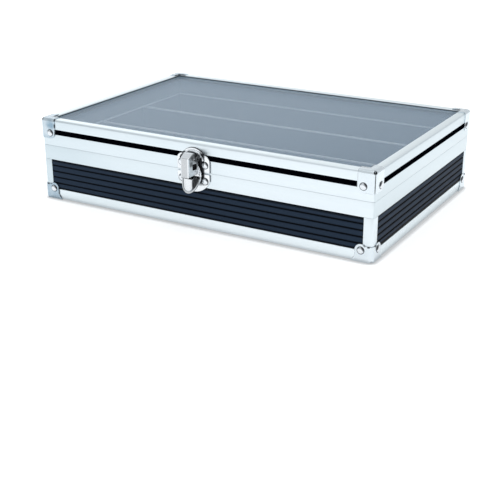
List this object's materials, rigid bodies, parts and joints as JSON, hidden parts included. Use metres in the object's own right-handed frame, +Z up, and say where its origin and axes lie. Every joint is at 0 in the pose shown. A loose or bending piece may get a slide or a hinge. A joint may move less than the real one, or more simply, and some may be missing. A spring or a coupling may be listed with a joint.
{
  "type": "coin display case",
  "caption": "Flat aluminium-framed display case for coins: ribbed dark walls, velvet compartments, glazed lid on rear hinges, riveted hasp latch and steel corner brackets.",
  "frame": {"origin": "middle of the underside: the level of the bottom board and of the base corner brackets, half way along and across the case", "axes": "+X along the case to the right as seen from the latch side, +Y to the hinges at the back, +Z up"},
  "size_m": [0.2974, 0.2188, 0.068],
  "materials": {
    "aluminium_profile": "bright satin anodised, drawn lengthwise",
    "corner_steel": "bright plated, pressed",
    "rivet": "polished plated dome",
    "latch_nickel": "polished nickel plating",
    "pin_steel": "bright drawn steel",
    "hinge_steel": "plated, lightly brushed",
    "ribbed_panel": "satin black with level ribs",
    "black_stripe": "smooth black",
    "gasket_rubber": "matt black",
    "clear_glass": "clear, slightly hazy",
    "velvet": "short black pile",
    "divider_board": "black velvet paper over board, pale cut edge",
    "board": "fine fibreboard"
  },
  "bodies": {
    "base": {"base_board": "board", "wall_front": "board", "wall_back": "board", "wall_left": "board", "wall_right": "board", "panel_front": "ribbed_panel", "panel_back": "ribbed_panel", "panel_left": "ribbed_panel", "panel_right": "ribbed_panel", "bottom_rail_front": "aluminium_profile", "bottom_rail_back": "aluminium_profile", "bottom_rail_left": "aluminium_profile", "bottom_rail_right": "aluminium_profile", "corner_post_fl": "aluminium_profile", "corner_post_fr": "aluminium_profile", "corner_post_bl": "aluminium_profile", "corner_post_br": "aluminium_profile", "base_rim_front": "aluminium_profile", "base_rim_back": "aluminium_profile", "base_rim_left": "aluminium_profile", "base_rim_right": "aluminium_profile", "base_corner_fl": "corner_steel", "base_corner_fr": "corner_steel", "base_corner_bl": "corner_steel", "base_corner_br": "corner_steel", "base_corner_rivets": "rivet", "wall_lining": "velvet", "floor_pad": "velvet", "divider_front": "divider_board", "divider_rear": "divider_board", "hinge_base_leaf_left": "hinge_steel", "hinge_base_leaf_right": "hinge_steel", "hinge_pins": "pin_steel", "hinge_base_rivets": "rivet", "latch_base_plate": "latch_nickel", "latch_base_rivets": "rivet"},
    "lid": {"lid_frame_front": "aluminium_profile", "lid_frame_back": "aluminium_profile", "lid_frame_left": "aluminium_profile", "lid_frame_right": "aluminium_profile", "window_pane": "clear_glass", "glazing_gasket": "gasket_rubber", "lid_stripe_front": "black_stripe", "lid_stripe_back": "black_stripe", "lid_stripe_left": "black_stripe", "lid_stripe_right": "black_stripe", "lid_corner_fl": "corner_steel", "lid_corner_fr": "corner_steel", "lid_corner_bl": "corner_steel", "lid_corner_br": "corner_steel", "lid_corner_rivets": "rivet", "lid_lining": "velvet", "hinge_lid_leaf_left": "hinge_steel", "hinge_lid_leaf_right": "hinge_steel", "hinge_lid_rivets": "rivet", "latch_lid_plate": "latch_nickel", "latch_lid_rivets": "rivet", "latch_pin": "pin_steel"},
    "lever": {"latch_lever": "latch_nickel"}
  },
  "joints": [
    {"name": "lid_hinge", "type": "hinge", "parent": "base", "child": "lid", "pos_m": [0, 0.1035, 0.04555], "axis": [-1, 0, 0], "range_deg": [0, 100]},
    {"name": "latch_pivot", "type": "hinge", "parent": "lid", "child": "lever", "pos_m": [0, -0.1056, 0.05715], "axis": [-1, 0, 0], "range_deg": [-2.5, 100]}
  ]
}
